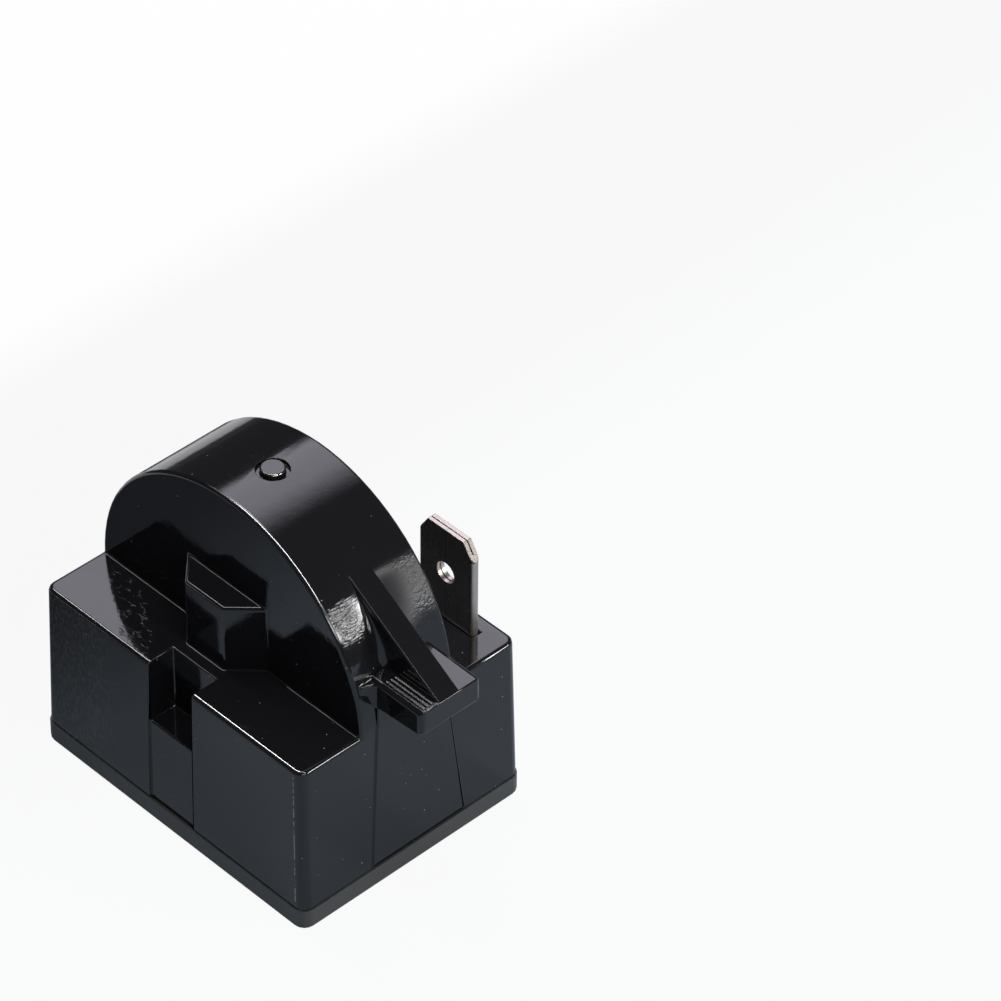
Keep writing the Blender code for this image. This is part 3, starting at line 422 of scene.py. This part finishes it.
def housing_plastic():
    """Glossy black moulding, brushed and matt beside the rib, scuffed and pitted at the low shelf, with
    painted highlights on its edges and along the corner flash.
    """
    finish = Finish("housing_plastic")
    x, y, _ = finish.axes
    turn = drum_angle(finish)
    brushed = brushed_field(finish, turn)
    matt = matt_field(finish, turn)
    mottled = matt * finish.step(RIB_BACK, MOTTLED_FULL_Y, y)
    scuffs = shelf_scuffs(finish)
    pitted = pitted_wall(finish)
    pits = finish.noise(*PITS)
    patches = finish.step(*PATCH_RANGE, finish.noise(*PATCHES))
    dust = finish.specks(*HOUSING_DUST) * patches
    flash_and_highlight = corner_flash_and_highlight(finish)
    # Painted highlight on the front top edge, the drum's rim and the mark's edge
    edge_highlight = painted_edge_highlights(finish, turn)
    worn = finish.step(*PIT_RANGE, pits) * pitted * WORN_SHARE + scuffs * WORN_SHARE
    black = finish.blend(worn, HOUSING_BLACK, WORN_BLACK)
    # Pale dust specks, and the pale painted highlight along the corner flash
    dust_and_flash_highlight = finish.blend(dust + flash_and_highlight, black, PALE_DUST_AND_HIGHLIGHT)
    # Mirror colour of the painted highlight, brighter at the right than at the left
    highlight_mirror = finish.blend(finish.step(*HIGHLIGHT_CHANGE_X, x), HIGHLIGHT_MIRROR_LEFT, HIGHLIGHT_MIRROR_RIGHT)
    height = (finish.noise(*RIPPLE) * RIPPLE_HEIGHT + finish.noise(*GRAIN) * GRAIN_HEIGHT
              + finish.noise(*STROKES) * brushed * STROKE_HEIGHT
              + finish.noise(*MOTTLE) * mottled * MOTTLE_HEIGHT
              + scuffs * SCUFF_HEIGHT + pits * pitted * PIT_HEIGHT + dust * DUST_HEIGHT
              + flash_and_highlight * FLASH_HEIGHT + ledge_lines(finish) * LINE_HEIGHT)
    roughness = (HOUSING_ROUGHNESS + PATCH_ROUGHNESS * patches + BRUSHED_ROUGHNESS * brushed
                 + MATT_AT_RIB * matt - MATT_LOST_BEHIND * mottled + DUST_ROUGHNESS * dust)
    return finish.surface({
        "Base Color": finish.blend(edge_highlight, dust_and_flash_highlight, highlight_mirror),
        "Metallic": edge_highlight,
        "Roughness": roughness,
        "Normal": finish.relief(height),
        "IOR": PLASTIC_IOR,
    })


def cover_plastic():
    """Satin black moulding with a fine even grain."""
    finish = Finish("cover_plastic")
    grain = finish.noise(*COVER_GRAIN)
    cloud = finish.noise(*COVER_CLOUD)
    dust = finish.specks(*COVER_DUST) * finish.step(*COVER_PATCH_RANGE, cloud)
    return finish.surface({
        "Base Color": finish.blend(dust, COVER_BLACK, PALE_DUST_AND_HIGHLIGHT),
        "Roughness": COVER_ROUGHNESS + CLOUD_ROUGHNESS * cloud,
        "Normal": finish.relief(grain * COVER_GRAIN_HEIGHT + cloud * COVER_CLOUD_HEIGHT),
        "IOR": PLASTIC_IOR,
    })


# The metals, with noise sizes and heights in millimetres

TIN = colour(0.50, 0.47, 0.44)
SHEARED_STEEL = colour(0.56, 0.50, 0.455)
DULL_SHEAR = colour(0.10, 0.09, 0.08)
STEEL_PITS = colour(0.20, 0.18, 0.16)
CHAMFER_WIDTH = 1.1
CHAMFER_HEIGHT = 1.7
CHAMFER_BLUR = 0.05
CHAMFER_SHARE = 0.9
NARROW_MARGIN = 0.03
TAB_CLOUD = (2.2, 3.0)
TAB_SHEAR = (0.12, 3.0, (1.0, 8.0, 1.0))
TAB_FLOW = (0.35, 3.0, (1.0, 1.0, 3.0))
STAIN_RANGE = (0.60, 0.74)
STAIN_SHARE = 0.5
TAB_ROUGHNESS = 0.20
TAB_CLOUD_ROUGHNESS = 0.12
SHEAR_ROUGHNESS = 0.14
SHEAR_HEIGHT = 0.006
FLOW_HEIGHT = 0.003


def plated_tab():
    """Dull tin plate on the broad faces, brighter sheared steel with cross lines on the narrow edges."""
    finish = Finish("plated_sheet")
    x, y, z = finish.axes
    cloud = finish.noise(*TAB_CLOUD)
    shear = finish.noise(*TAB_SHEAR)
    flow = finish.noise(*TAB_FLOW)
    narrow = finish.between(y, TAB_LOW[1] + NARROW_MARGIN, TAB_HIGH[1] - NARROW_MARGIN, NARROW_MARGIN)
    plate = finish.blend(finish.step(*STAIN_RANGE, flow) * STAIN_SHARE, TIN, STEEL_PITS)
    corner_z = finish.between(z, TERMINAL_TOP - CHAMFER_HEIGHT, TERMINAL_TOP, CHAMFER_BLUR)
    chamfer = (x > TAB_HIGH[0] - CHAMFER_WIDTH) * corner_z
    sheared = finish.blend(chamfer * CHAMFER_SHARE, SHEARED_STEEL, DULL_SHEAR)
    return finish.surface({
        "Base Color": finish.blend(narrow, plate, sheared),
        "Metallic": 1.0,
        "Roughness": TAB_ROUGHNESS + TAB_CLOUD_ROUGHNESS * cloud + SHEAR_ROUGHNESS * narrow,
        "Normal": finish.relief(shear * narrow * SHEAR_HEIGHT + flow * FLOW_HEIGHT),
    })


INNER_TIN = colour(0.62, 0.59, 0.57)
SPRING_STEEL = colour(0.52, 0.52, 0.53)
BRASS = colour(0.78, 0.6, 0.3)
METAL_CLOUD = (3.0, 2.0)
DARKER_SHARE = 0.7
DRAWN_DETAIL = 4.0
DRAWN_ROUGHNESS = 0.15
DRAWN_HEIGHT = 0.004


def bare_metal(name, tone, roughness, grain_mm, stretch):
    """Rolled or pressed sheet with fine drawn lines."""
    finish = Finish(name)
    lines = finish.noise(grain_mm, DRAWN_DETAIL, stretch)
    cloud = finish.noise(*METAL_CLOUD)
    darker = colour(*[DARKER_SHARE * part for part in tone[:3]])
    return finish.surface({
        "Base Color": finish.blend(cloud, tone, darker),
        "Metallic": 1.0,
        "Roughness": roughness + DRAWN_ROUGHNESS * lines,
        "Normal": finish.relief(lines * DRAWN_HEIGHT),
    })


PALE_SILVER = colour(0.62, 0.61, 0.59)
GREY_SILVER = colour(0.5, 0.5, 0.49)
BARE_CERAMIC = colour(0.16, 0.15, 0.14)
SPRAY_CLOUD = (0.8, 4.0)
SPRAY_EDGE = 0.15
SPRAY_BLUR = 0.05
SPRAY_METALLIC = 0.8
SPRAY_ROUGHNESS = 0.4
SPRAY_CLOUD_ROUGHNESS = 0.2
SPRAY_HEIGHT = 0.01


def ceramic_disc():
    """Sprayed silver faces on a grey ceramic rim."""
    finish = Finish("silvered_disc")
    _, y, _ = finish.axes
    rim = finish.between(y, DISC_FRONT + SPRAY_EDGE, DISC_BACK - SPRAY_EDGE, SPRAY_BLUR)
    cloud = finish.noise(*SPRAY_CLOUD)
    silver = finish.blend(cloud, PALE_SILVER, GREY_SILVER)
    return finish.surface({
        "Base Color": finish.blend(rim, silver, BARE_CERAMIC),
        "Metallic": SPRAY_METALLIC - SPRAY_METALLIC * rim,
        "Roughness": SPRAY_ROUGHNESS + SPRAY_CLOUD_ROUGHNESS * cloud,
        "Normal": finish.relief(cloud * SPRAY_HEIGHT),
    })


# Pieces

MERGE_DISTANCE = 0.03 * MM
FLAT_ANGLE = math.radians(0.3)
SHARP_ANGLE = math.radians(32)
PLASTIC_ROUNDING = 0.14
PLASTIC_ROUNDING_STEPS = 3
SHEET_ROUNDING = 0.05
SHEET_ROUNDING_STEPS = 2
AREA_WEIGHT = 50


def merged_copy(node):
    """A copy of a CAD node's mesh with its triangles joined into whole faces."""
    bm = bmesh.new()
    bm.from_mesh(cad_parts[node].data)
    bmesh.ops.remove_doubles(bm, verts=bm.verts, dist=MERGE_DISTANCE)
    bmesh.ops.dissolve_limit(bm, angle_limit=FLAT_ANGLE, verts=bm.verts, edges=bm.edges)
    return bm


def as_mesh(bm, name):
    """The finished mesh, shaded smooth between its sharp edges and without the solids' own normals."""
    for face in bm.faces:
        face.smooth = True
    mesh = bpy.data.meshes.new(name)
    bm.to_mesh(mesh)
    bm.free()
    if "custom_normal" in mesh.attributes:
        mesh.attributes.remove(mesh.attributes["custom_normal"])
    return mesh


def in_box(vert, low, high):
    """Whether a vertex lies in a box given in millimetres."""
    return all(a <= part / MM <= b for part, a, b in zip(vert.co, low, high))


def shown_piece(bm, name, material, node):
    """Links a finished shape as the piece that stands for a CAD node."""
    mesh = as_mesh(bm, name)
    mesh.materials.append(material)
    piece = bpy.data.objects.new(name, mesh)
    bpy.context.scene.collection.objects.link(piece)
    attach(piece, BODY)
    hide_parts(node)
    return piece


FINE_SHARE = 0.3
SEAM_TOLERANCE = 0.1
TIP_DEPTH = 0.15
TIP_EDGE = 0.03
TIP_TOLERANCE = 0.05


def choose_edges(bm, share_of):
    """Marks each sharp edge with its share of the rounding's width, none at the seam."""
    weight = bm.edges.layers.float.new("bevel_weight_edge")
    for edge in bm.edges:
        at_seam = all(abs(vert.co.z / MM - SEAM) < SEAM_TOLERANCE for vert in edge.verts)
        sharp = len(edge.link_faces) == 2 and edge.calc_face_angle() > SHARP_ANGLE
        edge.smooth = not sharp
        if sharp and not at_seam:
            edge[weight] = share_of(edge)


def housing_edge(edge):
    """Fine at the moulding mark and the ledge's end, and none in the hollow corners of the ledge and rib."""
    ends = [vert.co / MM for vert in edge.verts]
    at_tip = all(end.x > LEDGE_END - TIP_DEPTH and end.z > LEDGE_TOP - TIP_TOLERANCE for end in ends)
    if at_tip and min(end.x for end in ends) < LEDGE_END - TIP_EDGE:
        return 0.0
    if at_tip or all(end.z > CROWN_HEIGHT for end in ends):
        return FINE_SHARE
    at_ledge = all(in_box(vert, *LEDGE_AND_RIB) for vert in edge.verts)
    return 0.0 if at_ledge and edge.calc_face_angle_signed() < 0 else 1.0


def soften_edges(piece, width_mm, segments):
    """Small rounded edges, with the flat faces' shading kept flat."""
    bevel = piece.modifiers.new("edges", "BEVEL")
    bevel.width = width_mm * MM
    bevel.segments = segments
    bevel.profile = 0.5
    bevel.limit_method = "WEIGHT"
    bevel.use_clamp_overlap = False
    bevel.material = -1
    flat = piece.modifiers.new("flat_shading", "WEIGHTED_NORMAL")
    flat.keep_sharp = True
    flat.weight = AREA_WEIGHT


SLOT_SPARE = 0.4
SLOT_FIT = 0.03
SLOT_DEPTH = 3.0
TOP_MARGIN = 0.01


def tighten_slot(bm):
    """Brings the slot's sides close to the tab, which fills it on the real relay."""
    low = (TAB_LOW[0] - SLOT_SPARE, TAB_LOW[1] - SLOT_SPARE, BOX_TOP - SLOT_DEPTH)
    high = (TAB_HIGH[0] + SLOT_SPARE, TAB_HIGH[1] + SLOT_SPARE, BOX_TOP + TOP_MARGIN)
    for vert in bm.verts:
        if in_box(vert, low, high):
            for axis in (0, 1):
                near_low = vert.co[axis] / MM < (TAB_LOW[axis] + TAB_HIGH[axis]) / 2
                place = TAB_LOW[axis] - SLOT_FIT if near_low else TAB_HIGH[axis] + SLOT_FIT
                vert.co[axis] = place * MM


def dress_housing():
    bm = merged_copy("housing_shell")
    tighten_slot(bm)
    choose_edges(bm, housing_edge)
    piece = shown_piece(bm, "housing", housing_plastic(), "housing_shell")
    soften_edges(piece, PLASTIC_ROUNDING, PLASTIC_ROUNDING_STEPS)


SEAM_LINE = 0.045
BAND_TOP = 1.7
BAND_TOLERANCE = 0.15
BAND_INSIDE = (14.0, 10.4)


def narrow_seam(bm):
    """Lifts the band's upper rim until only a fine line parts it from the housing."""
    for vert in bm.verts:
        x, y, z = [abs(part) / MM for part in vert.co]
        if abs(z - BAND_TOP) < BAND_TOLERANCE and (x > BAND_INSIDE[0] or y > BAND_INSIDE[1]):
            vert.co.z = (SEAM - SEAM_LINE) * MM


def dress_cover():
    bm = merged_copy("base_cover")
    narrow_seam(bm)
    choose_edges(bm, lambda edge: 1.0)
    piece = shown_piece(bm, "cover", cover_plastic(), "base_cover")
    soften_edges(piece, PLASTIC_ROUNDING, PLASTIC_ROUNDING_STEPS)


FOLD_WIDTH = 0.03
FOLD_REACH = 0.1
FOLD_DEPTH = 4.0


def close_fold(bm):
    """Brings the lips of the folded sheet together on the tab's front, where the real fold hardly shows."""
    low = (TAB_MIDDLE - FOLD_REACH, TAB_LOW[1] - FOLD_REACH, BOX_TOP - FOLD_DEPTH)
    high = (TAB_MIDDLE + FOLD_REACH, TAB_HIGH[1], TERMINAL_TOP + FOLD_REACH)
    for vert in bm.verts:
        if in_box(vert, low, high):
            side = 1 if vert.co.x / MM > TAB_MIDDLE else -1
            vert.co.x = (TAB_MIDDLE + side * FOLD_WIDTH / 2) * MM


def tab_edge(edge):
    """None along the closed fold on the tab's front."""
    ends = [vert.co / MM for vert in edge.verts]
    in_fold = all(abs(end.x - TAB_MIDDLE) < FOLD_REACH and end.z > BOX_TOP - FOLD_DEPTH for end in ends)
    return 0.0 if in_fold else 1.0


def dress_tab():
    bm = merged_copy("run_terminal")
    close_fold(bm)
    choose_edges(bm, tab_edge)
    piece = shown_piece(bm, "terminal", plated_tab(), "run_terminal")
    soften_edges(piece, SHEET_ROUNDING, SHEET_ROUNDING_STEPS)


def finish_inner_pieces():
    """Better materials for the pieces inside, which keep their solid form."""
    steel = bare_metal("inner_plated_sheet", INNER_TIN,
                       roughness=0.25, grain_mm=0.1, stretch=(20.0, 1.0, 1.0))
    spring = bare_metal("rolled_strip", SPRING_STEEL,
                        roughness=0.2, grain_mm=0.08, stretch=(30.0, 1.0, 1.0))
    brass = bare_metal("pressed_brass", BRASS,
                       roughness=0.25, grain_mm=0.12, stretch=(1.0, 1.0, 12.0))
    dressed = {
        "start_terminal": steel,
        "start_contact_spring": spring,
        "run_contact_spring": spring,
        "run_socket_clip": spring,
        "start_socket_clip": spring,
        "run_pin_socket": brass,
        "start_pin_socket": brass,
        "run_socket_rivet": brass,
        "start_socket_rivet": brass,
        "ptc_disc": ceramic_disc(),
    }
    for node, material in dressed.items():
        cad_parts[node].material_slots[0].material = material


# Studio

FLOOR_RADIUS = 4.0
FLOOR_SIDES = 64
WHITE = colour(1.0, 1.0, 1.0)
FRONT_PAINT = colour(0.36, 0.425, 0.49)
# Painted shade: the floor's dark paint at the object's left and far off; the pale paint between is a painted
# pool of light
PAINTED_SHADE = colour(0.055, 0.065, 0.08)
PAINTED_LIGHT = colour(0.85, 0.85, 0.87)
SHADE_BORDER = (-2.0, -32.0)
LIGHT_BORDER = (-50.0, -60.0)
OUTER_SHADE_BORDER = (-140.0, -200.0)
CAMERA_GLOW = 0.93
MIRRORED_GLOW = 0.04
LAMP_DISTANCE = 1.5
ROOM_LEVEL = 0.06


def lay_floor():
    """A floor that keeps the object's shadow and looks white to the camera.

    The gloss mirrors its paint, which is bluish grey before the object; the dark paint at its left and far
    off is painted shade, and the pale paint further left a painted pool of light.
    """
    bm = bmesh.new()
    bmesh.ops.create_circle(bm, cap_ends=True, radius=FLOOR_RADIUS, segments=FLOOR_SIDES)
    mesh = as_mesh(bm, "floor")
    finish = Finish("white_floor")
    x, _, _ = finish.axes
    # Painted shade at the object's left and far off, with a painted pool of light between
    near = finish.blend(finish.step(*SHADE_BORDER, x), FRONT_PAINT, PAINTED_SHADE)
    middle = finish.blend(finish.step(*LIGHT_BORDER, x), near, PAINTED_LIGHT)
    tone = finish.blend(finish.step(*OUTER_SHADE_BORDER, x), middle, PAINTED_SHADE)
    paint = finish.node("ShaderNodeBsdfDiffuse", None, {"Color": tone})
    glow = finish.node("ShaderNodeEmission", None, {"Color": WHITE, "Strength": 1.0})
    to_camera = finish.node("ShaderNodeLightPath", output="Is Camera Ray")
    to_gloss = finish.node("ShaderNodeLightPath", output="Is Glossy Ray")
    through = finish.node("ShaderNodeLightPath", output="Is Transmission Ray")
    share = to_camera * CAMERA_GLOW + to_gloss * MIRRORED_GLOW + through * MIRRORED_GLOW
    both = finish.node("ShaderNodeMixShader", None, {0: share, 1: paint, 2: glow})
    finish.node("ShaderNodeOutputMaterial", None, {"Surface": both}, output=None)
    floor = bpy.data.objects.new("floor", mesh)
    mesh.materials.append(finish.material)
    bpy.context.scene.collection.objects.link(floor)


def hang_lamp(name, direction, across, width, height, radiance, fades, tint=(1.0, 1.0, 1.0)):
    """A rectangular lamp that faces the object and dims towards its sides.

    Width and height are shares of its distance. The fades are the shares of them over which it dims,
    at the start and end of its width, then of its height.
    """
    out = Vector(direction).normalized()
    side = Vector(across)
    side = (side - side.dot(out) * out).normalized()
    data = bpy.data.lights.new(name, "AREA")
    data.shape = "RECTANGLE"
    data.size = width * LAMP_DISTANCE
    data.size_y = height * LAMP_DISTANCE
    data.energy = radiance * math.pi * data.size * data.size_y
    data.color = tint
    data.use_nodes = True
    dimmer = Finish.for_tree(data.node_tree)
    spot = dimmer.node("ShaderNodeNewGeometry", output="Parametric")
    along, up, _ = dimmer.node("ShaderNodeSeparateXYZ", None, {0: spot}, output=None)
    low, high, below, above = fades
    bright = (dimmer.step(0.0, low, along) * dimmer.step(1.0, 1.0 - high, along)
              * dimmer.step(0.0, below, up) * dimmer.step(1.0, 1.0 - above, up))
    glow = dimmer.node("ShaderNodeEmission", None, {"Color": WHITE, "Strength": bright})
    dimmer.node("ShaderNodeOutputLight", None, {"Surface": glow}, output=None)
    lamp = bpy.data.objects.new(name, data)
    bpy.context.scene.collection.objects.link(lamp)
    turn = Matrix((side, out.cross(side), out)).transposed().to_4x4()
    turn.translation = out * LAMP_DISTANCE
    lamp.matrix_world = turn
    lamp.visible_camera = False


def light_room():
    """The same dim light from everywhere."""
    world = bpy.data.worlds.new("room")
    bpy.context.scene.world = world
    world.use_nodes = True
    room = Finish.for_tree(world.node_tree)
    light = room.node("ShaderNodeBackground", None, {"Color": WHITE, "Strength": ROOM_LEVEL})
    room.node("ShaderNodeOutputWorld", None, {"Surface": light}, output=None)


def light_studio():
    """Two lamps behind the object, a weak one at its right, a long strip above it and a dim room."""
    hang_lamp("soft_lamp", direction=(-0.378, 0.53, 0.758), across=(0.0, 1.0, 0.0),
              width=0.36, height=0.845, radiance=2.9, fades=(0.1, 0.1, 0.47, 0.2), tint=(1.0, 0.98, 1.12))
    hang_lamp("bright_strip", direction=(0.79, 0.48, 0.385), across=(-0.52, 0.85, 0.0),
              width=0.66, height=0.2, radiance=34.0, fades=(0.15, 0.15, 0.4, 0.4))
    hang_lamp("side_strip", direction=(0.84, -0.36, 0.40), across=(0.39, 0.92, 0.0),
              width=0.7, height=0.2, radiance=7.0, fades=(0.15, 0.15, 0.3, 0.3))
    hang_lamp("overhead_strip", direction=(0.0, 0.0, 1.0), across=(1.0, 0.0, 0.0),
              width=2.4, height=0.13, radiance=15.0, fades=(0.1, 0.1, 0.3, 0.3))
    light_room()


place_camera()
bpy.context.scene.view_settings.view_transform = "Standard"
lay_floor()
light_studio()
dress_housing()
dress_cover()
dress_tab()
finish_inner_pieces()
